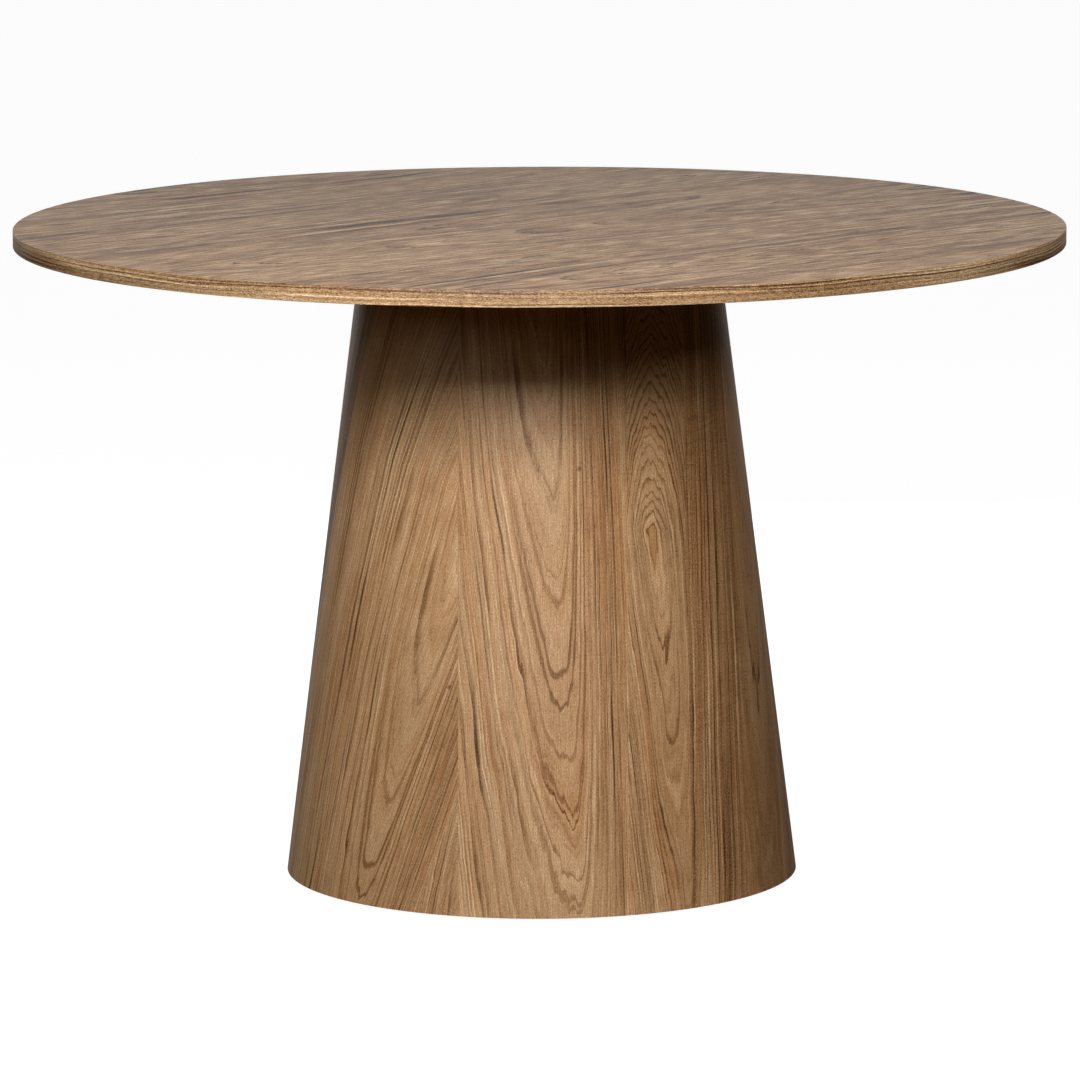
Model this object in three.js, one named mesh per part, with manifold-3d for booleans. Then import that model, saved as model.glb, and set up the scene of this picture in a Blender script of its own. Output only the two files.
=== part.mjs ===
// A round pedestal dining table: a thin veneered top on a hollow, flared drum base.
// Millimetres, +Z up. The origin is on the floor, under the middle of the table.
// The front of the table faces -Y, and angles are counted from the front towards +X.

import * as THREE from "three";
import { mergeVertices } from "three/addons/utils/BufferGeometryUtils.js";
import Module from "manifold-3d";

const wasm = await Module();
wasm.setup();

// ---- Driving dimensions ----

const TABLE_HEIGHT = 750;
const TOP_DIAMETER = 1200;
const CORE_THICKNESS = 18;
const VENEER = 0.5;
const BAND_THICKNESS = 1;
const BAND_ARRIS = 0.25;
const TOP_GRAIN_ANGLE = 43;

const DRUM_TOP_RADIUS = 203;
const DRUM_FLOOR_RADIUS = 294.5;
const DRUM_LIFT = 3;
const SHELL_THICKNESS = 12;
const PANEL_JOINT_ANGLE = -22.5;
const SHELL_JOINT_ANGLE = 90;

const BOARD_THICKNESS = 25;
const RING_THICKNESS = 18;
const MID_RING_HEIGHT = 360;
const MID_RING_WIDTH = 45;
const BOTTOM_RING_HEIGHT = 9.5;
const BOTTOM_RING_WIDTH = 60;

const UPRIGHT_COUNT = 4;
const UPRIGHT_WIDTH = 45;
const UPRIGHT_THICKNESS = 20;
const UPRIGHT_SET_IN = 2;

const BOLT_COUNT = 4;
const BOLT_FIRST_ANGLE = 45;
const BOLT_CIRCLE_RADIUS = 140;
const BOLT_RADIUS = 4;
const BOLT_LENGTH = 40;
const BOLT_HEAD_RADIUS = 7;
const BOLT_HEAD_HEIGHT = 5;
const BOLT_SOCKET_RADIUS = 2.8;
const BOLT_SOCKET_DEPTH = 3;
const WASHER_RADIUS = 10;
const WASHER_THICKNESS = 2;
const INSERT_RADIUS = 6;
const INSERT_LENGTH = 14;

const FOOT_COUNT = 6;
const FOOT_FIRST_ANGLE = 15;
const FOOT_CIRCLE_RADIUS = 248;
const PAD_RADIUS = 16;
const PAD_HEIGHT = 7;
const STEM_RADIUS = 4;
const STEM_TOP = 44;
const BUSH_FLANGE_RADIUS = 12;
const BUSH_FLANGE_THICKNESS = 2;
const BUSH_RADIUS = 6;
const BUSH_LENGTH = 15;

// The stem's ball end and the pad's socket. Heights are from the floor with the foot screwed in.
const BALL_RADIUS = 3.75;
const BALL_BOTTOM = 2.25;
const BALL_TOP = 4.5;
const NECK_RADIUS = 2.5;
const SOCKET_RADIUS = 4.25;
const SOCKET_FLOOR = 1.75;
const THROAT_RADIUS = 3.1;
const THROAT_BOTTOM = 5.25;

const SCREW_RADIUS = 2.25;
const SCREW_HEAD_RADIUS = 4.5;
const SCREW_HEAD_HEIGHT = 2.75;
const SCREW_LENGTH = 50;
const SCREW_BITE = 15;

// Glue lines and the gaps round loose and threaded parts.
const SKIN_GAP = 0.1;
const GLUE_GAP = 0.3;
const BORE_GAP = 0.5;

// Facets round a full circle.
const FINE = 96;
const MEDIUM = 48;
const SMALL = 12;

// ---- Derived heights and radii ----

const TOP_RADIUS = TOP_DIAMETER / 2;
const CORE_RADIUS = TOP_RADIUS - BAND_THICKNESS;
const CORE_TOP = TABLE_HEIGHT - VENEER;
const CORE_BOTTOM = CORE_TOP - CORE_THICKNESS;
const TOP_UNDERSIDE = CORE_BOTTOM - VENEER;
const BOARD_BOTTOM = TOP_UNDERSIDE - BOARD_THICKNESS;
const BOTTOM_RING_TOP = BOTTOM_RING_HEIGHT + RING_THICKNESS;
const WASHER_BOTTOM = BOARD_BOTTOM - WASHER_THICKNESS;
const SHELL_DEPTH = VENEER + SKIN_GAP;
const INNER_SKIN = SHELL_DEPTH + SHELL_THICKNESS;

// The drum narrows by this much radius for each millimetre of height.
const TAPER = (DRUM_FLOOR_RADIUS - DRUM_TOP_RADIUS) / TOP_UNDERSIDE;

// The drum's radius at a height, at a depth below its outer face.
function drumRadius(height, depth = 0) {
  return DRUM_FLOOR_RADIUS - TAPER * height - depth;
}

// ---- Materials ----

const walnutTop = { color: 0x8f7660, roughness: 0.42, metalness: 0 };
const walnutBand = { color: 0xa87d52, roughness: 0.45, metalness: 0 };
const walnutDrum = { color: 0x9a7047, roughness: 0.45, metalness: 0 };
const fibreboard = { color: 0xb08a5c, roughness: 0.9, metalness: 0 };
const plywood = { color: 0xcfae7c, roughness: 0.8, metalness: 0 };
const softwood = { color: 0xd8bb86, roughness: 0.8, metalness: 0 };
const zincSteel = { color: 0xb8bcc0, roughness: 0.35, metalness: 1 };
const blackSteel = { color: 0x2a2a2c, roughness: 0.5, metalness: 1 };
const nylon = { color: 0x1e1e1f, roughness: 0.55, metalness: 0 };

// ---- Shape helpers ----

const radians = THREE.MathUtils.degToRad;

// Turns a closed (radius, height) profile, given anticlockwise, round the Z axis.
function lathe(profile, facets) {
  const points = [...profile, profile[0]].map(([r, z]) => new THREE.Vector2(r, z));
  return new THREE.LatheGeometry(points, facets).rotateX(Math.PI / 2);
}

// A round ring whose inner and outer faces are both parallel to the drum's side.
function drumRing(bottom, top, outerDepth, width, facets) {
  return lathe(
    [
      [drumRadius(bottom, outerDepth + width), bottom],
      [drumRadius(bottom, outerDepth), bottom],
      [drumRadius(top, outerDepth), top],
      [drumRadius(top, outerDepth + width), top],
    ],
    facets,
  );
}

function cylinder(radius, bottom, top, facets) {
  return lathe([[0, bottom], [radius, bottom], [radius, top], [0, top]], facets);
}

function solid(geometry) {
  const bare = geometry.clone();
  bare.deleteAttribute("normal");
  bare.deleteAttribute("uv");
  const merged = mergeVertices(bare, 1e-4);
  return new wasm.Manifold(
    new wasm.Mesh({
      numProp: 3,
      vertProperties: merged.attributes.position.array,
      triVerts: new Uint32Array(merged.index.array),
    }),
  );
}

function geometryOf(manifold) {
  const { vertProperties, triVerts } = manifold.getMesh();
  const indexed = new THREE.BufferGeometry();
  indexed.setAttribute("position", new THREE.BufferAttribute(vertProperties, 3));
  indexed.setIndex(new THREE.BufferAttribute(triVerts, 1));
  const geometry = indexed.toNonIndexed();
  geometry.computeVertexNormals();
  return geometry;
}

function cut(geometry, tools) {
  return geometryOf(tools.reduce((left, tool) => left.subtract(solid(tool)), solid(geometry)));
}

// The point at an angle from the front and a radius from the axis.
function around(angle, radius) {
  return [radius * Math.sin(radians(angle)), -radius * Math.cos(radians(angle))];
}

// Angles spaced evenly round the circle.
function spaced(count, first) {
  return Array.from({ length: count }, (_, i) => first + (i * 360) / count);
}

function movedTo(geometry, angle, radius) {
  const [x, y] = around(angle, radius);
  return geometry.clone().translate(x, y, 0);
}

// Half of a ring: what lies on one side of an upright plane that holds the axis and the joint
// angle. Each half stops just short of the plane.
function halfRing(geometry, jointAngle, side) {
  const reach = 2 * TOP_RADIUS;
  const away = new THREE.BoxGeometry(reach, 2 * reach, 2 * reach);
  away.translate(side * (GLUE_GAP / 2 - reach / 2), 0, 0);
  away.rotateZ(radians(jointAngle));
  return cut(geometry, [away]);
}

// ---- Parts ----

const table = new THREE.Group();

function add(name, geometry, finish, x = 0, y = 0) {
  const mesh = new THREE.Mesh(geometry, new THREE.MeshStandardMaterial(finish));
  mesh.name = name;
  mesh.position.set(x, y, 0);
  table.add(mesh);
}

// Adds one copy of a round piece at each angle, at the same radius.
function addAround(name, geometry, finish, angles, radius) {
  angles.forEach((angle, i) => {
    const [x, y] = around(angle, radius);
    add(`${name}_${i + 1}`, geometry, finish, x, y);
  });
}

const boltAngles = spaced(BOLT_COUNT, BOLT_FIRST_ANGLE);
const footAngles = spaced(FOOT_COUNT, FOOT_FIRST_ANGLE);
const uprightAngles = spaced(UPRIGHT_COUNT, 0);

function addTabletop() {
  const holeRadius = INSERT_RADIUS + GLUE_GAP;
  const pocket = cylinder(holeRadius, CORE_BOTTOM - 1, CORE_BOTTOM + INSERT_LENGTH + 1, SMALL);
  const pockets = boltAngles.map((angle) => movedTo(pocket, angle, BOLT_CIRCLE_RADIUS));
  const core = cylinder(CORE_RADIUS, CORE_BOTTOM, CORE_TOP, FINE);
  add("top_core", cut(core, pockets), fibreboard);

  const skin = cylinder(CORE_RADIUS, TOP_UNDERSIDE, CORE_BOTTOM, FINE);
  const hole = cylinder(holeRadius, TOP_UNDERSIDE - 1, CORE_BOTTOM + 1, SMALL);
  const holes = boltAngles.map((angle) => movedTo(hole, angle, BOLT_CIRCLE_RADIUS));
  add("underside_veneer", cut(skin, holes), walnutTop);

  add("top_veneer_left", topSheet(TOP_GRAIN_ANGLE), walnutTop);
  add("top_veneer_right", topSheet(TOP_GRAIN_ANGLE + 180), walnutTop);

  const band = [
    [CORE_RADIUS, TOP_UNDERSIDE],
    [TOP_RADIUS - BAND_ARRIS, TOP_UNDERSIDE],
    [TOP_RADIUS, TOP_UNDERSIDE + BAND_ARRIS],
    [TOP_RADIUS, TABLE_HEIGHT - BAND_ARRIS],
    [TOP_RADIUS - BAND_ARRIS, TABLE_HEIGHT],
    [CORE_RADIUS, TABLE_HEIGHT],
  ];
  add("edge_band", lathe(band, FINE), walnutBand);
}

// A half disc of face veneer. Its straight side lies along the grain, which starts at this
// angle from +X, and its round side has the same facets as the core.
function topSheet(grainAngle) {
  const step = 360 / FINE;
  const apothem = CORE_RADIUS * Math.cos(radians(step / 2));
  const onRim = (angle) => {
    const fromFacetMiddle = angle - step * (Math.floor(angle / step) + 0.5);
    const radius = apothem / Math.cos(radians(fromFacetMiddle));
    return new THREE.Vector2(radius * Math.cos(radians(angle)), radius * Math.sin(radians(angle)));
  };
  const outline = [onRim(grainAngle)];
  for (let i = Math.floor(grainAngle / step) + 1; i * step < grainAngle + 180; i++) {
    outline.push(onRim(i * step));
  }
  outline.push(onRim(grainAngle + 180));
  const sheet = new THREE.ExtrudeGeometry(new THREE.Shape(outline), {
    depth: VENEER,
    bevelEnabled: false,
  });
  return sheet.translate(0, 0, CORE_TOP);
}

// An upright stands parallel to the drum's wall, just clear of its curved inner face.
function uprightShape(angle, growth = 0) {
  const bottom = BOTTOM_RING_TOP;
  const top = BOARD_BOTTOM;
  const outer = (height) => drumRadius(height, INNER_SKIN + UPRIGHT_SET_IN) + growth;
  const inner = (height) => outer(height) - UPRIGHT_THICKNESS - 2 * growth;
  const side = new THREE.Shape([
    new THREE.Vector2(inner(bottom), bottom),
    new THREE.Vector2(outer(bottom), bottom),
    new THREE.Vector2(outer(top), top),
    new THREE.Vector2(inner(top), top),
  ]);
  const width = UPRIGHT_WIDTH + 2 * growth;
  const shape = new THREE.ExtrudeGeometry(side, { depth: width, bevelEnabled: false });
  shape.translate(0, 0, -width / 2);
  shape.rotateX(Math.PI / 2);
  return shape.rotateZ(radians(angle - 90));
}

function countersunkScrew(headFace, direction) {
  const profile = [
    [0, 0],
    [SCREW_HEAD_RADIUS, 0],
    [SCREW_RADIUS, SCREW_HEAD_HEIGHT],
    [SCREW_RADIUS, SCREW_LENGTH - 2 * SCREW_RADIUS],
    [0, SCREW_LENGTH],
  ].map(([r, along]) => [r, headFace + direction * along]);
  return lathe(direction > 0 ? profile : profile.reverse(), SMALL / 2);
}

// The hole that a countersunk screw sits in, a glue gap wider all round.
function screwHole(headFace, direction) {
  const profile = [
    [0, -1],
    [SCREW_HEAD_RADIUS + GLUE_GAP, -1],
    [SCREW_HEAD_RADIUS + GLUE_GAP, GLUE_GAP / 2],
    [SCREW_RADIUS + GLUE_GAP, SCREW_HEAD_HEIGHT + GLUE_GAP / 2],
    [SCREW_RADIUS + GLUE_GAP, SCREW_LENGTH + GLUE_GAP],
    [0, SCREW_LENGTH + GLUE_GAP],
  ].map(([r, along]) => [r, headFace + direction * along]);
  return lathe(direction > 0 ? profile : profile.reverse(), SMALL / 2);
}

// The screws run upright, through the middle of each upright's end at the depth of their bite.
const uprightMiddle = INNER_SKIN + UPRIGHT_SET_IN + UPRIGHT_THICKNESS / 2;
const topScrewRadius = drumRadius(BOARD_BOTTOM - SCREW_BITE, uprightMiddle);
const bottomScrewRadius = drumRadius(BOTTOM_RING_TOP + SCREW_BITE, uprightMiddle);

function addFrame() {
  const topHole = screwHole(TOP_UNDERSIDE, -1);
  const bottomHole = screwHole(BOTTOM_RING_HEIGHT, 1);
  const topHoles = uprightAngles.map((angle) => movedTo(topHole, angle, topScrewRadius));
  const bottomHoles = uprightAngles.map((angle) => movedTo(bottomHole, angle, bottomScrewRadius));

  const boltHole = cylinder(BOLT_RADIUS + BORE_GAP, BOARD_BOTTOM - 1, TOP_UNDERSIDE + 1, SMALL);
  const boltHoles = boltAngles.map((angle) => movedTo(boltHole, angle, BOLT_CIRCLE_RADIUS));
  const fit = INNER_SKIN + GLUE_GAP;
  const board = lathe(
    [
      [0, BOARD_BOTTOM],
      [drumRadius(BOARD_BOTTOM, fit), BOARD_BOTTOM],
      [drumRadius(TOP_UNDERSIDE, fit), TOP_UNDERSIDE],
      [0, TOP_UNDERSIDE],
    ],
    MEDIUM,
  );
  add("base_top_board", cut(board, [...boltHoles, ...topHoles]), plywood);

  const midRingTop = MID_RING_HEIGHT + RING_THICKNESS;
  const midRing = drumRing(MID_RING_HEIGHT, midRingTop, fit, MID_RING_WIDTH, MEDIUM);
  const notches = uprightAngles.flatMap((angle) => [uprightShape(angle, GLUE_GAP), notchMouth(angle)]);
  add("base_mid_ring", cut(midRing, notches), plywood);

  const bushHoleRadius = BUSH_RADIUS + GLUE_GAP;
  const bushHole = cylinder(bushHoleRadius, BOTTOM_RING_HEIGHT - 1, BOTTOM_RING_TOP + 1, SMALL);
  const bushHoles = footAngles.map((angle) => movedTo(bushHole, angle, FOOT_CIRCLE_RADIUS));
  const bottomRing = drumRing(BOTTOM_RING_HEIGHT, BOTTOM_RING_TOP, fit, BOTTOM_RING_WIDTH, MEDIUM);
  add("base_bottom_ring", cut(bottomRing, [...bushHoles, ...bottomHoles]), plywood);

  uprightAngles.forEach((angle, i) => {
    const upright = cut(uprightShape(angle), [topHoles[i], bottomHoles[i]]);
    add(`base_upright_${i + 1}`, upright, softwood);
  });
  const topScrew = countersunkScrew(TOP_UNDERSIDE, -1);
  const bottomScrew = countersunkScrew(BOTTOM_RING_HEIGHT, 1);
  addAround("upright_screw_top", topScrew, zincSteel, uprightAngles, topScrewRadius);
  addAround("upright_screw_bottom", bottomScrew, zincSteel, uprightAngles, bottomScrewRadius);
}

// Opens a notch in the middle ring out to its rim, so that the upright slides in from outside.
function notchMouth(angle) {
  const mouth = new THREE.BoxGeometry(
    UPRIGHT_WIDTH + 2 * GLUE_GAP,
    UPRIGHT_THICKNESS,
    3 * RING_THICKNESS,
  );
  mouth.translate(0, -drumRadius(MID_RING_HEIGHT, INNER_SKIN + UPRIGHT_THICKNESS / 4), MID_RING_HEIGHT);
  return mouth.rotateZ(radians(angle));
}

function addDrumSkins() {
  const shell = drumRing(DRUM_LIFT, TOP_UNDERSIDE, SHELL_DEPTH, SHELL_THICKNESS, FINE);
  add("base_shell_a", halfRing(shell, SHELL_JOINT_ANGLE, 1), plywood);
  add("base_shell_b", halfRing(shell, SHELL_JOINT_ANGLE, -1), plywood);
  const skin = drumRing(DRUM_LIFT, TOP_UNDERSIDE, 0, VENEER, FINE);
  add("base_veneer_a", halfRing(skin, PANEL_JOINT_ANGLE, 1), walnutDrum);
  add("base_veneer_b", halfRing(skin, PANEL_JOINT_ANGLE, -1), walnutDrum);
}

function addTopFixings() {
  const insert = lathe(
    [
      [BOLT_RADIUS + BORE_GAP, CORE_BOTTOM],
      [INSERT_RADIUS, CORE_BOTTOM],
      [INSERT_RADIUS, CORE_BOTTOM + INSERT_LENGTH],
      [BOLT_RADIUS + BORE_GAP, CORE_BOTTOM + INSERT_LENGTH],
    ],
    SMALL,
  );
  addAround("top_insert", insert, zincSteel, boltAngles, BOLT_CIRCLE_RADIUS);

  const washer = lathe(
    [
      [BOLT_RADIUS + BORE_GAP, WASHER_BOTTOM],
      [WASHER_RADIUS, WASHER_BOTTOM],
      [WASHER_RADIUS, BOARD_BOTTOM],
      [BOLT_RADIUS + BORE_GAP, BOARD_BOTTOM],
    ],
    SMALL,
  );
  addAround("top_washer", washer, zincSteel, boltAngles, BOLT_CIRCLE_RADIUS);

  const headBottom = WASHER_BOTTOM - BOLT_HEAD_HEIGHT;
  const bolt = lathe(
    [
      [0, headBottom],
      [0.75 * BOLT_HEAD_RADIUS, headBottom],
      [BOLT_HEAD_RADIUS, headBottom + 0.4 * BOLT_HEAD_HEIGHT],
      [BOLT_HEAD_RADIUS, WASHER_BOTTOM],
      [BOLT_RADIUS, WASHER_BOTTOM],
      [BOLT_RADIUS, WASHER_BOTTOM + BOLT_LENGTH - 1],
      [BOLT_RADIUS - 1, WASHER_BOTTOM + BOLT_LENGTH],
      [0, WASHER_BOTTOM + BOLT_LENGTH],
    ],
    SMALL,
  );
  const socket = cylinder(BOLT_SOCKET_RADIUS, headBottom - 1, headBottom + BOLT_SOCKET_DEPTH, 6);
  addAround("top_bolt", cut(bolt, [socket]), blackSteel, boltAngles, BOLT_CIRCLE_RADIUS);
}

// A levelling foot: a bush in the bottom ring, a stem that turns in it, and a pad that stays
// still on the floor and holds the stem's ball end in its socket.
function addFeet() {
  const flangeBottom = BOTTOM_RING_HEIGHT - BUSH_FLANGE_THICKNESS;
  const bore = STEM_RADIUS + BORE_GAP;
  const bush = [
    [bore, flangeBottom],
    [BUSH_FLANGE_RADIUS, flangeBottom],
    [BUSH_FLANGE_RADIUS, BOTTOM_RING_HEIGHT],
    [BUSH_RADIUS, BOTTOM_RING_HEIGHT],
    [BUSH_RADIUS, flangeBottom + BUSH_LENGTH],
    [bore, flangeBottom + BUSH_LENGTH],
  ];
  addAround("foot_bush", lathe(bush, SMALL), zincSteel, footAngles, FOOT_CIRCLE_RADIUS);

  const pad = [
    [0, 0],
    [PAD_RADIUS - 1, 0],
    [PAD_RADIUS, 1],
    [PAD_RADIUS, 3],
    [PAD_RADIUS / 2, PAD_HEIGHT],
    [THROAT_RADIUS, PAD_HEIGHT],
    [THROAT_RADIUS, THROAT_BOTTOM],
    [SOCKET_RADIUS, THROAT_BOTTOM - 0.5],
    [SOCKET_RADIUS, SOCKET_FLOOR],
    [0, SOCKET_FLOOR],
  ];
  addAround("foot_pad", lathe(pad, SMALL), nylon, footAngles, FOOT_CIRCLE_RADIUS);

  const stem = [
    [0, BALL_BOTTOM],
    [BALL_RADIUS, BALL_BOTTOM + 0.5],
    [BALL_RADIUS, BALL_TOP - 0.5],
    [NECK_RADIUS, BALL_TOP],
    [NECK_RADIUS, PAD_HEIGHT + 0.5],
    [STEM_RADIUS, PAD_HEIGHT + 1.5],
    [STEM_RADIUS, STEM_TOP - 1],
    [STEM_RADIUS - 1, STEM_TOP],
    [0, STEM_TOP],
  ];
  const keySocket = cylinder(0.6 * STEM_RADIUS, STEM_TOP - 4, STEM_TOP + 1, 6);
  const keyedStem = cut(lathe(stem, SMALL), [keySocket]);
  addAround("foot_stem", keyedStem, zincSteel, footAngles, FOOT_CIRCLE_RADIUS);
}

addTabletop();
addFrame();
addDrumSkins();
addTopFixings();
addFeet();

export default table;
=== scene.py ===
"""Looks of the round drum-based dining table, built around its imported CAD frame.

Metres, +Z up, the table's front faces -Y. Angles are counted from the front towards +X.
Veneer patterns are worked out in millimetres on the flat sheet, before it is bent on to the drum.
"""

import math
from collections import namedtuple

import bmesh
import bpy
from mathutils import Matrix, Vector


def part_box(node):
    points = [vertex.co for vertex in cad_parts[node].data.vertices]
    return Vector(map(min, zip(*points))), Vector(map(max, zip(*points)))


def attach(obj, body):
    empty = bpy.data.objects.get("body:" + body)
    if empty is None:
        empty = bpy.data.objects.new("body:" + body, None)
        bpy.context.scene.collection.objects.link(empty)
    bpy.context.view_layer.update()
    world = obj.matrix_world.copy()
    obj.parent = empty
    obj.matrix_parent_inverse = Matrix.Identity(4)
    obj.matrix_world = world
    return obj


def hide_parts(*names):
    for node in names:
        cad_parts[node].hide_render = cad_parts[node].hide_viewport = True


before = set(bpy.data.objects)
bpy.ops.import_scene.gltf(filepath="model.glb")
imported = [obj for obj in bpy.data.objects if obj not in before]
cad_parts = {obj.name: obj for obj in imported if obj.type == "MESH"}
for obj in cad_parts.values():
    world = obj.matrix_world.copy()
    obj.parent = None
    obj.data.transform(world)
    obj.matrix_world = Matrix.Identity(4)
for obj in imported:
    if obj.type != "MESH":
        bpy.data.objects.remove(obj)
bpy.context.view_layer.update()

scene = bpy.context.scene
MM = 0.001

# ---------------------------------------------------------------- sizes, read from the frame

HEIGHT_SLACK = 0.2 * MM   # points as near as this to a height count as on it


def radius_at(node, height):
    """The largest distance from the table's axis of a node's points at one height."""
    points = (v.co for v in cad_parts[node].data.vertices)
    return max(p.xy.length for p in points if abs(p.z - height) < HEIGHT_SLACK)


TOP_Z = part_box("top_veneer_left")[1].z
SHEET_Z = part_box("top_veneer_left")[0].z
UNDERSIDE_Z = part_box("edge_band")[0].z
TOP_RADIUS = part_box("edge_band")[1].x
SHEET_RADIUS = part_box("top_core")[1].x
DRUM_FOOT_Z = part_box("base_veneer_a")[0].z
DRUM_HEAD_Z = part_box("base_veneer_a")[1].z
DRUM_FOOT_RADIUS = radius_at("base_veneer_a", DRUM_FOOT_Z)
DRUM_HEAD_RADIUS = radius_at("base_veneer_a", DRUM_HEAD_Z)
SHELL_GAP = 0.1 * MM      # between the shells and the veneer round them
VENEER = DRUM_FOOT_RADIUS - radius_at("base_shell_a", DRUM_FOOT_Z) - SHELL_GAP

# the drum's cone, unrolled flat: its slanted side and the distance of its head from the apex
DRUM_HEIGHT = DRUM_HEAD_Z - DRUM_FOOT_Z
DRUM_FLARE = DRUM_FOOT_RADIUS - DRUM_HEAD_RADIUS
DRUM_SLANT = math.hypot(DRUM_HEIGHT, DRUM_FLARE)
CONE_SINE = DRUM_FLARE / DRUM_SLANT
HEAD_REACH = DRUM_HEAD_RADIUS / CONE_SINE

TOP_GRAIN_ANGLE = math.radians(43)
PANEL_EDGE = -95 * MM     # the drum's joint runs along the grain, this far left of the middle
ARRIS = 0.8 * MM

# ---------------------------------------------------------------- shader arithmetic


class Wire:
    """A number in a node tree. Sums with it make math nodes, so that a pattern reads as a formula."""

    def __init__(self, tree, socket):
        self.tree = tree
        self.socket = socket

    def math(self, operation, *others):
        node = self.tree.nodes.new("ShaderNodeMath")
        node.operation = operation
        for entry, value in zip(node.inputs, (self, *others)):
            feed(self.tree, entry, value)
        return Wire(self.tree, node.outputs[0])

    def __add__(self, other):
        return self.math("ADD", other)

    def __sub__(self, other):
        return self.math("SUBTRACT", other)

    def __mul__(self, other):
        return self.math("MULTIPLY", other)

    def __truediv__(self, other):
        return self.math("DIVIDE", other)

    def __neg__(self):
        return self * -1

    def floor(self):
        return self.math("FLOOR")

    def fraction(self):
        return self.math("FRACT")

    def above(self, other):
        return self.math("GREATER_THAN", other)

    def most(self, other):
        return self.math("MAXIMUM", other)

    def root(self):
        return self.math("SQRT")

    def power(self, other):
        return self.math("POWER", other)

    def ramp(self, low, high, start=0.0, end=1.0):
        """Goes smoothly from start, at low, to end, at high, and stays there."""
        node = self.tree.nodes.new("ShaderNodeMapRange")
        node.interpolation_type = "SMOOTHSTEP"
        for name, value in (("Value", self), ("From Min", low), ("From Max", high),
                            ("To Min", start), ("To Max", end)):
            feed(self.tree, node.inputs[name], value)
        return Wire(self.tree, node.outputs[0])


def feed(tree, entry, value):
    if isinstance(value, Wire):
        tree.links.new(value.socket, entry)
    else:
        entry.default_value = value


def joined(tree, x, y=0.0, z=0.0):
    node = tree.nodes.new("ShaderNodeCombineXYZ")
    for entry, value in zip(node.inputs, (x, y, z)):
        feed(tree, entry, value)
    return node.outputs[0]


NOISE_SPAN = 2.6          # stretches Blender's noise, which is mostly from 0.1 to 0.9


def noise(tree, x, y=0.0, z=0.0, detail=0.0, rough=0.5):
    """Smooth noise from about -1 to 1."""
    node = tree.nodes.new("ShaderNodeTexNoise")
    node.inputs["Scale"].default_value = 1
    node.inputs["Detail"].default_value = detail
    node.inputs["Roughness"].default_value = rough
    tree.links.new(joined(tree, x, y, z), node.inputs["Vector"])
    return (Wire(tree, node.outputs[0]) - 0.5) * NOISE_SPAN


def dice(tree, number, salt):
    """A random number from 0 to 1 that is the same wherever number is."""
    node = tree.nodes.new("ShaderNodeTexWhiteNoise")
    node.noise_dimensions = "2D"
    tree.links.new(joined(tree, number, salt), node.inputs["Vector"])
    return Wire(tree, node.outputs[0])


HUE_TURN = 0.01           # what a redness of 1 does to the hue, as a share of the colour wheel
SATURATION_GAIN = 0.12    # and to the saturation


class Finish:
    """A material under way: its node tree and its shader. values set the shader's sockets."""

    def __init__(self, name, **values):
        self.material = bpy.data.materials.new(name)
        self.material.use_nodes = True
        self.tree = self.material.node_tree
        self.shader = self.tree.nodes["Principled BSDF"]
        for key, value in values.items():
            self.shader.inputs[key.replace("_", " ")].default_value = value

    def place(self):
        """x, y and z on the object, in millimetres."""
        where = self.tree.nodes.new("ShaderNodeTexCoord")
        parts = self.tree.nodes.new("ShaderNodeSeparateXYZ")
        self.tree.links.new(where.outputs["Object"], parts.inputs[0])
        return [Wire(self.tree, out) / MM for out in parts.outputs]

    def noise(self, *where, **how):
        return noise(self.tree, *where, **how)

    def colour(self, tone, stops, redness=None):
        """Colours the surface by tone: stops are (tone, colour) pairs. Redness turns the hue."""
        node = self.tree.nodes.new("ShaderNodeValToRGB")
        elements = node.color_ramp.elements
        for element, (position, colour) in ((elements[0], stops[0]), (elements[1], stops[-1])):
            element.position = position
            element.color = (*colour, 1)
        for position, colour in stops[1:-1]:
            elements.new(position).color = (*colour, 1)
        feed(self.tree, node.inputs[0], tone)
        out = node.outputs[0]
        if redness is not None:
            turn = self.tree.nodes.new("ShaderNodeHueSaturation")
            feed(self.tree, turn.inputs["Hue"], redness * -HUE_TURN + 0.5)
            feed(self.tree, turn.inputs["Saturation"], redness * SATURATION_GAIN + 1)
            self.tree.links.new(out, turn.inputs["Color"])
            out = turn.outputs[0]
        self.tree.links.new(out, self.shader.inputs["Base Color"])

    def rough(self, value):
        feed(self.tree, self.shader.inputs["Roughness"], value)

    def bump(self, height, depth):
        """Relief of the given depth in metres, where height goes from 0 to 1."""
        node = self.tree.nodes.new("ShaderNodeBump")
        node.inputs["Strength"].default_value = 1
        node.inputs["Distance"].default_value = depth
        feed(self.tree, node.inputs["Height"], height)
        self.tree.links.new(node.outputs[0], self.shader.inputs["Normal"])


# ---------------------------------------------------------------- walnut veneer

# All of this section is in millimetres: u runs across the grain and v along it, away from the
# cone's apex on the drum. In noise(tree, u / 8, v / 60, ...) the pattern's size is 8 by 60 mm.
# Factors in a sum of marks are their shares in the tone, which goes from 0, dark, to 1, pale.

# One leaf of a veneer sheet. It reaches from edge to the next leaf's edge. Its growth rings are
# hyperbolas round an axis, which leans by lean below turn. Right of the axis they are crowd times
# narrower. At turn the leaf is cut depth away from the heart of the tree, and the rings open out
# above turn by fall and below it by rise, which makes arches and V's. ring is their usual width,
# and bold how alike and dark their lines are. tone is how pale the leaf is. mottle strengthens
# its cross figure, specks and streaks.
Leaf = namedtuple("Leaf", "edge axis lean crowd depth turn fall rise ring bold tone mottle")

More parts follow.
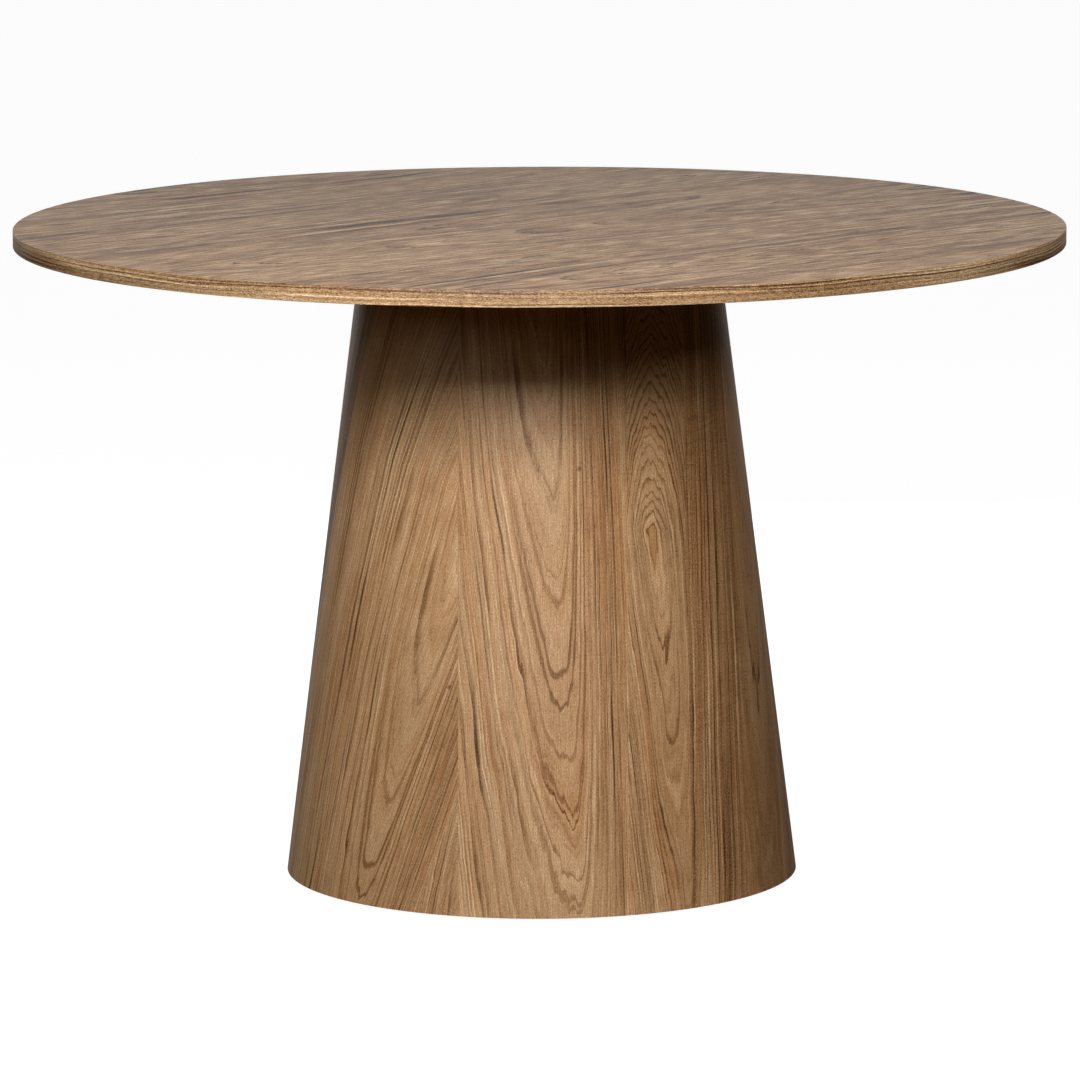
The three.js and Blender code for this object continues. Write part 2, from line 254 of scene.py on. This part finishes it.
# A point's place among the growth rings: where it is on the sheet, how far below the turn and
# beside the axis, and spread, that distance with the crowding. tip is 1 at an arch's tip and
# flank 1 well right of the axis. distance is from the heart, with the rings' waves, and steep how
# fast it grows across the grain. index is the ring's number and step the share of it passed.
Place = namedtuple("Place", "u v below side spread tip flank distance steep index step")

WALNUT = [
    (0.00, (0.028, 0.010, 0.003)),
    (0.25, (0.106, 0.046, 0.017)),
    (0.50, (0.222, 0.116, 0.049)),
    (0.75, (0.345, 0.206, 0.104)),
    (1.00, (0.540, 0.385, 0.225)),
]


def leaf_values(leaves, across):
    """Each measure of the leaf that a point lies in, as a Wire or a plain number."""
    inside = [across.above(leaf.edge) for leaf in leaves[1:]]
    values = {}
    for field in Leaf._fields[1:]:
        numbers = [getattr(leaf, field) for leaf in leaves]
        value = numbers[0]
        for step, before, after in zip(inside, numbers, numbers[1:]):
            if after != before:
                value = step * (after - before) + value
        values[field] = value
    return Leaf(leaves[0].edge, **values)


def growth_rings(tree, u, v, leaf, seed):
    """The place of a point among the rings of its leaf."""
    below = v - leaf.turn
    side = u - (below.most(0) * leaf.lean + leaf.axis)
    spread = (side * leaf.crowd).most(-side)
    opening = (below * leaf.rise).most(-(below * leaf.fall)) + leaf.depth
    reach = (spread * spread + opening * opening).root()
    tip = opening / reach
    zigzag = (noise(tree, u / 8, v / 60, seed, detail=1) * tip.ramp(0.1, 0.8, 0.4, 1.5)
              + noise(tree, u / 30, v / 160, seed + 3) * 2.2)
    steep = spread * leaf.crowd / reach + tip * 0.26
    distance = reach + zigzag
    rings = distance / leaf.ring + noise(tree, distance / 14, v / 900, seed + 7) * 0.9
    index = rings.floor()
    flank = side.ramp(28, 44)
    return Place(u, v, below, side, spread, tip, flank, distance, steep, index, rings - index)


def late_wood(tree, at, leaf, seed):
    """The thin dark line that closes a ring. Some are strong, and most come and go along the grain."""
    luck = dice(tree, at.index, seed).power(2.2)
    to_line = (-at.step + 1) * leaf.ring / at.steep
    bold = at.below.ramp(-30, 70, 1.0, 0.2) * at.spread.ramp(36, 24) * leaf.bold
    presence = noise(tree, at.index * 3.7, at.v / 130, seed + 11).ramp(-0.6, 0.4).most(bold)
    return to_line.ramp(2.0, 0.8) * ((-luck + 1) * bold + luck) * presence


def early_wood(tree, at, seed):
    """The pale streak that some rings start with. It is weak at the tips of the arches."""
    pale = at.step.ramp(0.45, 0.0) * dice(tree, at.index, seed + 2).ramp(0.4, 1.0)
    pale = pale * noise(tree, at.index * 5.1, at.v / 220, seed + 13).ramp(-0.4, 0.5)
    return pale * at.tip.ramp(0.6, 1.0, 1.0, 0.3)


def draw_marks(line, at, marked, leaves):
    """Draws the marked rings of the first leaf over the lines, each with a soft shade inside it."""
    share = at.tip.ramp(0.2, 0.95, 0.45, 1.0) * at.side.ramp(-60, -15, 0.35, 1.0)
    for ring_reach, darkness in marked:
        gap = (at.distance - ring_reach) / at.steep
        shade = gap.ramp(-14.0, 0.0, 0.0, 0.11) * (-gap).above(0)
        mark = gap.math("ABSOLUTE").ramp(1.4, 0.4) * 0.75 + shade
        in_first = (-at.u + leaves[1].edge).above(0)
        line = line.most(mark * share * in_first * darkness)
    return line


def draw_knots(line, at, knots):
    """Draws small knots, at (across, along), over the lines."""
    for knot_u, knot_v in knots:
        spot = ((at.u - knot_u) * (at.u - knot_u) + (at.v - knot_v) * (at.v - knot_v) * 0.3).root()
        line = line.most(spot.ramp(3.0, 1.0))
    return line


def streaks(tree, at, leaf, seed, streak):
    """Streaks that run along the rings: broad soft ones, fine ones, and narrow pale and brown ones."""
    band = noise(tree, at.distance / 24, at.v / 700, seed + 19, detail=1)
    stripe = noise(tree, at.distance / 5.5, at.v / 420, seed + 17, detail=3, rough=0.6)
    cream = noise(tree, at.distance / (1.9 * streak), at.v / 380, seed + 43).ramp(0.22, 0.55)
    brown = noise(tree, at.distance / (1.5 * streak), at.v / 300, seed + 47).ramp(0.22, 0.55)
    cream = cream * at.tip.ramp(0.6, 1.0, 1.0, 0.4)
    brown = brown * at.tip.ramp(0.6, 1.0, 1.0, 0.3)
    strength = at.flank * 0.4 + leaf.mottle * 0.7 + 0.8
    broad = band * (at.flank * 0.12 + leaf.mottle * 0.1 + 0.03)
    return (stripe * 0.13 + cream * 0.13 - brown * 0.15) * strength + broad


def figure(tree, at, leaf, seed):
    """Ripples across the grain, in patches."""
    ripple = noise(tree, at.u / 30 + at.v / 60, at.v / 4.2 + at.u / 16, seed + 31) * leaf.mottle
    return ripple * noise(tree, at.u / 40, at.v / 110, seed + 59).ramp(0.0, 0.7)


def specks(tree, at, leaf, seed, streak):
    """Short specks along the grain."""
    speck = noise(tree, at.u / (0.9 * streak ** 1.2), at.v / (2.2 * streak ** 2.2), seed + 41, detail=1)
    return speck * (leaf.mottle * 0.2 + 0.2)


def veneer(finish, across, along, leaves, sheet, seed, marked=(), knots=(), contrast=1.0,
           streak=1.0, fibre_length=30, cloudy=0.05, redness=0.0):
    """Walnut veneer: sheets of the same leaves side by side, each slipped along the last.

    sheet is a sheet's width and its slip. marked lists the strongest rings of the first leaf, as
    (distance from the heart, darkness), and knots the places of small knots. streak widens the
    streaks and specks, and cloudy is the strength of soft clouds in the tone.
    """
    tree = finish.tree
    sheet_width, sheet_slip = sheet
    count = ((across - leaves[0].edge) / sheet_width).floor()
    u = across - count * sheet_width
    v = along - count * sheet_slip
    leaf = leaf_values(leaves, u)
    at = growth_rings(tree, u, v, leaf, seed)

    line = late_wood(tree, at, leaf, seed)
    line = draw_marks(line, at, marked, leaves)
    line = draw_knots(line, at, knots)
    pale = early_wood(tree, at, seed)
    dusk = at.step.power(3) * dice(tree, at.index, seed + 1)
    cloud = noise(tree, u / 28, v / 70, seed + 29, detail=2)
    fibre = noise(tree, u / 1.3, v / fibre_length, seed + 23, detail=3, rough=0.7)
    pore = noise(tree, u / 0.6, v / 4.2, seed + 37, detail=1).ramp(0.1, 0.6)
    pore = pore * (at.step * at.step * 0.8 + 0.4)

    drawn = streaks(tree, at, leaf, seed, streak) + specks(tree, at, leaf, seed, streak)
    tone = (drawn + fibre * 0.26 + cloud * cloudy + figure(tree, at, leaf, seed) * 0.09 + pale * 0.12
            - line * 0.48 - dusk * 0.08 - pore * 0.28 + 0.06) * contrast
    tone = tone + leaf.tone - at.flank * 0.1 - 0.03
    hue = noise(tree, at.distance / 11, v / 350, seed + 53, detail=2) * 0.8 + redness
    finish.colour(tone, WALNUT, hue)
    finish.rough(pore * 0.12 + fibre * 0.03 + 0.40)
    finish.bump(-pore - line * 0.4 + fibre * 0.15, 0.06 * MM)
    return finish.material


VENEER_SPECULAR = 0.28

DRUM_LEAVES = [
    Leaf(-232, 2, 0.055, 2.0, 22, 1660, 0.10, 0.10, 5.0, 0.10, 0.68, 0.2),
    Leaf(100, 130, 0.11, 0.8, 15, 1935, 0.18, 0.045, 2.4, 0.66, 0.62, 0.3),
    Leaf(180, 60, 0.03, 1.0, 60, 1700, 0.05, 0.05, 6.0, 0.10, 0.55, 0.9),
    Leaf(270, 300, 0.02, 1.0, 30, 1500, 0.05, 0.05, 7.0, 0.30, 0.47, 0.6),
]
DRUM_RINGS = [(44.5, 0.4), (57, 0.5), (65, 1.0), (68.6, 0.9), (75, 0.7), (80.5, 0.8), (84, 0.3),
              (91, 0.6), (98, 0.35), (106, 0.35)]
DRUM_KNOTS = [(44, 1865)]
DRUM_SHEET = (661, 126)   # a sheet's width, and how far the next one is slipped along the grain

TOP_LEAVES = [
    Leaf(0, 60, 0.02, 1.0, 60, 0, 0.03, 0.03, 11.0, 0.20, 0.60, 0.3),
    Leaf(150, 235, 0.01, 1.3, 14, -380, 0.10, 0.06, 8.0, 0.50, 0.60, 0.4),
    Leaf(330, 380, 0.03, 1.0, 50, 100, 0.02, 0.05, 12.0, 0.20, 0.58, 0.4),
    Leaf(420, 575, 0.05, 1.5, 20, 200, 0.09, 0.02, 9.0, 0.40, 0.60, 0.3),
]
TOP_SHEET = (619, -694)

BAND_LEAVES = [
    Leaf(0, -40, 0, 1.0, 0, 0, 0.002, 0.002, 5.0, 0.1, 0.59, 0.1),
]
BAND_SHEET = (1000, 0)    # wider than the rim is thick, so the band is one sheet


def drum_veneer(name, way):
    """Veneer on the cone, with straight grain on the flat sheet. way is 1, or -1 for half a turn."""
    finish = Finish(name, Specular_IOR_Level=VENEER_SPECULAR)
    x, y, z = finish.place()
    reach = (-z + DRUM_HEAD_Z / MM) * (DRUM_SLANT / DRUM_HEIGHT) + HEAD_REACH / MM
    angle = (x * way).math("ARCTAN2", y * -way) * CONE_SINE
    across = reach * angle.math("SINE")
    along = reach * angle.math("COSINE")
    return veneer(finish, across, along, DRUM_LEAVES, DRUM_SHEET, seed=2.0, marked=DRUM_RINGS,
                  knots=DRUM_KNOTS)


def flat_veneer(name, **how):
    """Veneer on the flat top, with its grain at the top's grain angle."""
    finish = Finish(name, Specular_IOR_Level=VENEER_SPECULAR)
    x, y, _ = finish.place()
    sine, cosine = math.sin(TOP_GRAIN_ANGLE), math.cos(TOP_GRAIN_ANGLE)
    along = x * cosine + y * sine
    across = y * cosine - x * sine
    return veneer(finish, across, along, TOP_LEAVES, TOP_SHEET, seed=40.0, **how)


def band_veneer(name):
    """Veneer strip round the rim, with its grain along the rim."""
    finish = Finish(name, Specular_IOR_Level=VENEER_SPECULAR)
    x, y, z = finish.place()
    along = x.math("ARCTAN2", -y) * (TOP_RADIUS / MM)
    across = z - UNDERSIDE_Z / MM
    return veneer(finish, across, along, BAND_LEAVES, BAND_SHEET, seed=80.0, contrast=1.8,
                  fibre_length=10, redness=-0.6)


# ---------------------------------------------------------------- other finishes


def fibreboard():
    finish = Finish("raw_fibreboard")
    x, y, z = finish.place()
    chips = finish.noise(x / 1.1, y / 1.1, z / 0.5, detail=4, rough=0.65)
    cloud = finish.noise(x / 14, y / 14, z / 6, detail=2)
    finish.colour(chips * 0.16 + cloud * 0.08 + 0.5, [
        (0.0, (0.20, 0.12, 0.06)), (0.5, (0.36, 0.23, 0.12)), (1.0, (0.50, 0.35, 0.20))])
    finish.rough(chips * 0.05 + 0.82)
    finish.bump(chips, 0.12 * MM)
    return finish.material


def plywood(name, layers):
    """Birch plywood. layers(x, y, z) counts the plies through the board's thickness."""
    finish = Finish(name)
    x, y, z = finish.place()
    count = layers(x, y, z)
    ply = count.floor()
    crossed = (ply * 0.5).fraction().above(0.25)
    glue = (count.fraction() - 0.5).math("ABSOLUTE").ramp(0.40, 0.48)
    grain = finish.noise(x / 1.4, y / 22, z / 1.4 + ply * 9, detail=3)
    fleck = finish.noise(x / 9, y / 0.7, z / 9 + ply * 5, detail=2)
    tone = grain * 0.12 + fleck * 0.05 + crossed * -0.16 - glue * 0.25 + 0.62
    finish.colour(tone, [
        (0.0, (0.12, 0.07, 0.035)), (0.5, (0.42, 0.28, 0.15)), (1.0, (0.66, 0.49, 0.30))])
    finish.rough(grain * 0.06 + 0.7)
    finish.bump(grain - glue, 0.1 * MM)
    return finish.material


def softwood():
    finish = Finish("planed_softwood")
    x, y, z = finish.place()
    bend = finish.noise(x / 40, y / 40, z / 300) * 6
    rings = ((x * x + (y * 0.8) * (y * 0.8)).root() + bend) / 3.1
    late = rings.fraction().ramp(0.35, 0.97)
    fibre = finish.noise(x / 0.7, y / 0.7, z / 35, detail=2)
    finish.colour(fibre * 0.09 - late * 0.28 + 0.72, [
        (0.0, (0.22, 0.11, 0.045)), (0.5, (0.50, 0.33, 0.16)), (1.0, (0.70, 0.54, 0.33))])
    finish.rough(fibre * 0.05 + 0.62)
    finish.bump(fibre - late * 0.5, 0.08 * MM)
    return finish.material


def plated(name, colour, dark, roughness):
    """Steel with a thin plated or oxide skin: faint turning marks, stains and dulled spots."""
    finish = Finish(name, Metallic=1.0)
    x, y, z = finish.place()
    marks = finish.noise(x / 6, y / 6, z / 0.12, detail=2)
    stain = finish.noise(x / 5, y / 5, z / 5, detail=3)
    finish.colour(stain * 0.3 + marks * 0.1 + 0.55, [(0.0, dark), (0.6, colour), (1.0, colour)])
    finish.rough(stain * 0.09 + marks * 0.05 + roughness)
    finish.bump(marks, 0.02 * MM)
    return finish.material


def nylon():
    finish = Finish("moulded_nylon")
    x, y, z = finish.place()
    grain = finish.noise(x / 0.35, y / 0.35, z / 0.35, detail=2)
    wear = finish.noise(x / 7, y / 7, z / 2.5, detail=3)
    finish.colour(wear * 0.25 + grain * 0.08 + 0.4, [
        (0.0, (0.012, 0.012, 0.013)), (0.6, (0.030, 0.030, 0.032)), (1.0, (0.085, 0.083, 0.080))])
    finish.rough(wear * 0.10 + grain * 0.04 + 0.48)
    finish.bump(grain, 0.05 * MM)
    return finish.material


# ---------------------------------------------------------------- mesh making

MERGE_DISTANCE = 0.001 * MM
CREASE = math.radians(30)  # edges sharper than this stay sharp


def placed(name, data):
    """A new object in the scene."""
    made = bpy.data.objects.new(name, data)
    scene.collection.objects.link(made)
    return made


def piece(name, body, slot, material, mesh, *stands_for):
    """Makes an object of a bmesh, which rides on a body and stands for CAD nodes."""
    bmesh.ops.remove_doubles(mesh, verts=mesh.verts, dist=MERGE_DISTANCE)
    bmesh.ops.recalc_face_normals(mesh, faces=mesh.faces)
    data = bpy.data.meshes.new(name)
    mesh.to_mesh(data)
    mesh.free()
    data.shade_smooth()
    data.set_sharp_from_angle(angle=CREASE)
    data.materials.append(material)
    made = placed(name, data)
    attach(made, body)
    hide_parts(*stands_for)


def net(mesh, rows, closed_round=False, closed_along=False):
    """Quads between rows of points. It can close from the last column or row to the first."""
    grid = [[mesh.verts.new(p) for p in row] for row in rows]
    row_pairs = list(zip(grid, grid[1:] + grid[:1]))
    if not closed_along:
        row_pairs.pop()
    for near, far in row_pairs:
        sides = list(zip(near, near[1:] + near[:1], far[1:] + far[:1], far))
        if not closed_round:
            sides.pop()
        for corners in sides:
            mesh.faces.new(corners)


def slab(outer, inner):
    """A closed sheet between two nets of points of the same shape."""
    mesh = bmesh.new()
    loop_rows = [list(front) + list(reversed(back)) for front, back in zip(outer, inner)]
    net(mesh, loop_rows, closed_round=True)
    for front, back in ((outer[0], inner[0]), (outer[-1], inner[-1])):
        net(mesh, [front, back])
    return mesh


def lathed(profile, centre, columns, ring=False):
    """A round shape. A profile entry is (radius, height), and its radius may depend on the angle.
    A ring's profile closes on itself, and any other starts and ends on the axis."""
    rows = []
    for radius, height in profile:
        row = []
        for k in range(columns):
            angle = 2 * math.pi * k / columns
            r = radius(angle) if callable(radius) else radius
            row.append((centre[0] + r * math.sin(angle), centre[1] - r * math.cos(angle), height))
        rows.append(row)
    mesh = bmesh.new()
    net(mesh, rows, closed_round=True, closed_along=ring)
    return mesh


def rounded(corner_r, corner_z, turn_from, radius, steps=4):
    """Points of a quarter circle about (corner_r, corner_z), starting at turn_from degrees."""
    points = []
    for k in range(steps + 1):
        a = math.radians(turn_from + 90 * k / steps)
        points.append((corner_r + radius * math.cos(a), corner_z + radius * math.sin(a)))
    return points


# ---------------------------------------------------------------- the top


def half_sheet(side, rim_steps=180, rings=6):
    """Half of the top sheet, on one side (+1 or -1) of the middle joint, which runs along the grain."""
    layers = []
    for height in (TOP_Z, SHEET_Z):
        rows = []
        for k in range(rings + 1):
            reach = SHEET_RADIUS * k / rings
            angles = (TOP_GRAIN_ANGLE + side * math.pi * i / rim_steps for i in range(rim_steps + 1))
            rows.append([(reach * math.cos(a), reach * math.sin(a), height) for a in angles])
        layers.append(rows)
    return slab(*layers)


top_finish = flat_veneer("walnut_top", contrast=1.8, streak=4.0, cloudy=0.0)
piece("top_sheet_left", "table", "walnut_top", top_finish, half_sheet(1), "top_veneer_left")
piece("top_sheet_right", "table", "walnut_top", top_finish, half_sheet(-1), "top_veneer_right")

band_profile = (
    rounded(TOP_RADIUS - ARRIS, TOP_Z - ARRIS, 0, ARRIS)
    + [(SHEET_RADIUS, TOP_Z), (SHEET_RADIUS, UNDERSIDE_Z)]
    + rounded(TOP_RADIUS - ARRIS, UNDERSIDE_Z + ARRIS, -90, ARRIS)
)
piece("rim_band", "table", "walnut_band", band_veneer("walnut_band"),
      lathed(band_profile, (0, 0), columns=360, ring=True), "edge_band")

# ---------------------------------------------------------------- the drum's veneer


def drum_panel(turn, columns=180, rows=16):
    """Half of the drum's veneer. Its joints follow the grain of the flat sheet, not the cone's slant."""
    layers = []
    for depth in (0, VENEER):
        grid = []
        for k in range(rows + 1):
            share = k / rows
            reach = HEAD_REACH + DRUM_SLANT * share
            radius = DRUM_HEAD_RADIUS + DRUM_FLARE * share - depth
            height = DRUM_HEAD_Z - DRUM_HEIGHT * share
            first = math.asin(PANEL_EDGE / reach) / CONE_SINE + turn
            angles = (first + math.pi * i / columns for i in range(columns + 1))
            grid.append([(radius * math.sin(a), -radius * math.cos(a), height) for a in angles])
        layers.append(grid)
    return slab(*layers)


piece("drum_panel_right", "table", "walnut_drum", drum_veneer("walnut_drum_right", 1),
      drum_panel(0), "base_veneer_a")
piece("drum_panel_left", "table", "walnut_drum", drum_veneer("walnut_drum_left", -1),
      drum_panel(math.pi), "base_veneer_b")

# ---------------------------------------------------------------- levelling feet

FOOT_COUNT = 6
THREAD_PITCH = 1.25 * MM
THREAD_DEPTH = 0.6 * MM
BALL_RADIUS = 3.75 * MM
NECK_RADIUS = 2.5 * MM
THROAT_RADIUS = 3.1 * MM
SOCKET_RADIUS = 4.25 * MM
SOCKET_FLOOR_Z = 1.75 * MM
SOCKET_TOP_Z = 4.75 * MM
PAD_EDGE = 1.2 * MM
PAD_RIM_Z = 2.8 * MM
PAD_GROOVES = 24
KNURLS = 20
GROOVE_DEPTH = 0.4 * MM
BUSH_BORE_RADIUS = 4.2 * MM
SLEEVE_RADIUS = 6 * MM
KEY_RADIUS = 2.08 * MM
KEY_DEPTH = 4 * MM


def centre_of(node):
    low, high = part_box(node)
    return (low.x + high.x) / 2, (low.y + high.y) / 2


def fluted(radius, depth, count):
    """A round outline with shallow grooves."""
    return lambda angle: radius - depth * (1 - math.cos(count * angle)) / 2


def hexagon(flat_radius):
    """A hexagon's outline: flat_radius is half of its width across flats."""
    return lambda angle: flat_radius / math.cos(angle % (math.pi / 3) - math.pi / 6)


def screw_thread(radius, low, high, steps=5):
    """Rows of a right-handed thread, steps rows to a pitch."""
    def outline(height):
        return lambda angle: radius - THREAD_DEPTH * abs(
            2 * ((height / THREAD_PITCH - angle / (2 * math.pi)) % 1) - 1)
    count = round((high - low) / THREAD_PITCH * steps)
    heights = [low + (high - low) * k / count for k in range(count + 1)]
    return [(outline(height), height) for height in heights]


def pad_profile(low, high):
    """The pad's outline from the middle of its sole to the floor of its socket."""
    radius = (high.x - low.x) / 2
    ground = rounded(radius - PAD_EDGE, PAD_EDGE, -90, PAD_EDGE)
    rim = fluted(radius, GROOVE_DEPTH, PAD_GROOVES)
    return (
        [(0, 0)]
        + [(fluted(r, GROOVE_DEPTH, PAD_GROOVES), z) for r, z in ground]
        + [(rim, PAD_RIM_Z), (radius - 0.5 * MM, PAD_RIM_Z + 0.4 * MM)]
        + [(radius / 2 + 0.8 * MM, high.z - 0.5 * MM), (radius / 2, high.z)]
        + [(THROAT_RADIUS + 0.4 * MM, high.z), (THROAT_RADIUS, high.z - 0.4 * MM)]
        + [(THROAT_RADIUS, SOCKET_TOP_Z + 0.5 * MM), (SOCKET_RADIUS, SOCKET_TOP_Z)]
        + [(SOCKET_RADIUS, SOCKET_FLOOR_Z), (0, SOCKET_FLOOR_Z)]
    )


def stem_profile(low, high, neck_top):
    """The stem's outline from its ball end to the bottom of its key socket."""
    radius = (high.x - low.x) / 2
    key_floor = high.z - KEY_DEPTH
    ball = low.z + BALL_RADIUS / 3
    return (
        [(0, low.z), (BALL_RADIUS * 0.7, low.z + 0.15 * MM), (BALL_RADIUS, ball - 0.4 * MM)]
        + [(BALL_RADIUS, ball + 0.4 * MM), (NECK_RADIUS, ball + 1.0 * MM)]
        + [(NECK_RADIUS, neck_top), (radius - THREAD_DEPTH, neck_top + 0.6 * MM)]
        + screw_thread(radius, neck_top + 1.2 * MM, high.z - 1.2 * MM)
        + [(radius - THREAD_DEPTH, high.z - 0.8 * MM), (radius - 1 * MM, high.z)]
        + [(KEY_RADIUS * 1.2, high.z), (hexagon(KEY_RADIUS), high.z - 0.4 * MM)]
        + [(hexagon(KEY_RADIUS), key_floor), (0, key_floor - 0.5 * MM)]
    )


def bush_profile(low, high, flange_top):
    """The bush's closed outline: a flange under the ring and a knurled sleeve inside it."""
    flange = (high.x - low.x) / 2
    edge = 0.6 * MM
    knurl = fluted(SLEEVE_RADIUS, GROOVE_DEPTH, KNURLS)
    return (
        [(BUSH_BORE_RADIUS, low.z + 0.5 * MM), (BUSH_BORE_RADIUS + 0.5 * MM, low.z)]
        + rounded(flange - edge, low.z + edge, -90, edge)
        + [(flange, flange_top), (SLEEVE_RADIUS - 0.4 * MM, flange_top)]
        + [(knurl, flange_top + 0.4 * MM), (knurl, high.z - 0.5 * MM)]
        + [(SLEEVE_RADIUS - 0.7 * MM, high.z), (BUSH_BORE_RADIUS, high.z)]
    )


zinc = plated("zinc_plate", (0.62, 0.64, 0.66), (0.30, 0.31, 0.32), 0.30)
pad_nylon = nylon()
ring_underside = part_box("base_bottom_ring")[0].z
for foot in range(1, FOOT_COUNT + 1):
    pad, stem, bush = f"foot_pad_{foot}", f"foot_stem_{foot}", f"foot_bush_{foot}"
    middle = centre_of(pad)
    neck_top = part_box(pad)[1].z + 0.5 * MM
    piece(f"levelling_pad_{foot}", f"foot_{foot}", "nylon", pad_nylon,
          lathed(pad_profile(*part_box(pad)), middle, columns=96), pad)
    piece(f"threaded_stem_{foot}", f"stem_{foot}", "zinc_steel", zinc,
          lathed(stem_profile(*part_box(stem), neck_top), middle, columns=24), stem)
    piece(f"stem_bush_{foot}", "table", "zinc_steel", zinc,
          lathed(bush_profile(*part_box(bush), ring_underside), middle, columns=80, ring=True), bush)

# ---------------------------------------------------------------- finishes of the CAD nodes that stay

BOARD_PLY = 1.5           # thickness of a ply, in millimetres
SHELL_PLY = 1.2
shell_plies = plywood("bent_plywood", lambda x, y, z: (
    (x * x + y * y).root() - (-z + DRUM_HEAD_Z / MM) * (DRUM_FLARE / DRUM_HEIGHT)) / SHELL_PLY)
board_plies = plywood("birch_plywood", lambda x, y, z: z / BOARD_PLY)
black = plated("black_oxide", (0.035, 0.035, 0.038), (0.012, 0.012, 0.013), 0.42)
NODE_FINISH = {
    "top_core": fibreboard(),
    "underside_veneer": flat_veneer("walnut_underside", contrast=0.8),
    "base_shell": shell_plies,
    "base_top_board": board_plies,
    "base_mid_ring": board_plies,
    "base_bottom_ring": board_plies,
    "base_upright": softwood(),
    "upright_screw": zinc,
    "top_insert": zinc,
    "top_washer": zinc,
    "top_bolt": black,
}
for node_name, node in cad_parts.items():
    for start, finish_material in NODE_FINISH.items():
        if node_name.startswith(start):
            for entry in node.material_slots:
                entry.material = finish_material

# ---------------------------------------------------------------- floor, light and camera

FLOOR_RADIUS = 80
floor_mesh = bmesh.new()
bmesh.ops.create_circle(floor_mesh, cap_ends=True, segments=96, radius=FLOOR_RADIUS)
floor_data = bpy.data.meshes.new("floor")
floor_mesh.to_mesh(floor_data)
floor_mesh.free()
floor = placed("floor", floor_data)
floor.visible_diffuse = False
floor.visible_glossy = False
floor_finish = Finish("pale_floor", Roughness=0.9, Base_Color=(0.20, 0.20, 0.20, 1),
                      Emission_Color=(1, 1, 1, 1), Emission_Strength=0.95)
floor_data.materials.append(floor_finish.material)

LIGHT_DISTANCE = 2.7
LIGHT_AIM = Vector((0, 0, 0.5))


def softbox(name, azimuth, elevation, size, watts, distance=LIGHT_DISTANCE, aim=LIGHT_AIM,
            mirrored=True):
    """A rectangular light, which shines at aim. Its angles are in degrees, azimuth from the front
    towards +X. One that isn't mirrored lights the table but shows in no reflection."""
    azimuth, elevation = math.radians(azimuth), math.radians(elevation)
    data = bpy.data.lights.new(name, "AREA")
    data.shape = "RECTANGLE"
    data.size, data.size_y = size
    data.energy = watts
    lamp = placed(name, data)
    back = Vector((math.sin(azimuth) * math.cos(elevation),
                   -math.cos(azimuth) * math.cos(elevation), math.sin(elevation)))
    lamp.location = aim + back * distance
    lamp.rotation_euler = back.to_track_quat("Z", "Y").to_euler()
    lamp.visible_camera = False
    lamp.visible_glossy = mirrored


softbox("key", -8, 25.5, (1.8, 0.55), 99)
softbox("right_fill", 52, 21.2, (1.5, 0.4), 24, mirrored=False)
softbox("left_fill", -48, 16, (1.5, 0.4), 10, mirrored=False)
softbox("back_fill", 180, 3, (2.2, 0.7), 34, mirrored=False)
softbox("overhead", 0, 90, (2.0, 2.0), 19, distance=2.2, aim=Vector((0, 0, TOP_Z)))

# The camera sees a white world. The table is lit from below by a warm glow off the floor, and its
# silhouette mirrors a pale backdrop behind it, which is brighter towards the left.
FLOOR_GLOW = (0.095, 0.058, 0.025)
world = bpy.data.worlds.new("studio")
scene.world = world
world.use_nodes = True
sky = world.node_tree
background = sky.nodes["Background"]
ray = sky.nodes.new("ShaderNodeLightPath")
direction = sky.nodes.new("ShaderNodeTexCoord")
parts = sky.nodes.new("ShaderNodeSeparateXYZ")
sky.links.new(direction.outputs["Generated"], parts.inputs[0])
aside, behind, height = (Wire(sky, out) for out in parts.outputs)
seen = Wire(sky, ray.outputs["Is Camera Ray"])
backdrop = behind.ramp(0.78, 0.97) * height.ramp(-0.16, -0.02, 0.10, 0.68)
backdrop = backdrop * aside.ramp(-0.1, -0.4, 1.0, 2.2)
floor_glow = height.ramp(0.1, -0.1)
light = [seen.most(backdrop + floor_glow * strength) for strength in FLOOR_GLOW]
sky.links.new(joined(sky, *light), background.inputs["Color"])

# fitted to the outlines of the top and the drum: lens and film in millimetres, angles in radians
CAMERA_PLACE = (-0.0007, -8.237, 1.718)
CAMERA_TILT = 0.1605
CAMERA_ROLL = -0.0035
CAMERA_LENS = 241.98
CAMERA_FILM = 36
camera_data = bpy.data.cameras.new("camera")
camera_data.sensor_width = CAMERA_FILM
camera_data.lens = CAMERA_LENS
camera_data.clip_end = 2 * FLOOR_RADIUS
camera = placed("camera", camera_data)
camera.matrix_world = (
    Matrix.Translation(CAMERA_PLACE)
    @ Matrix.Rotation(math.pi / 2 - CAMERA_TILT, 4, "X")
    @ Matrix.Rotation(CAMERA_ROLL, 4, "Z")
)
scene.camera = camera
scene.view_settings.view_transform = "Standard"
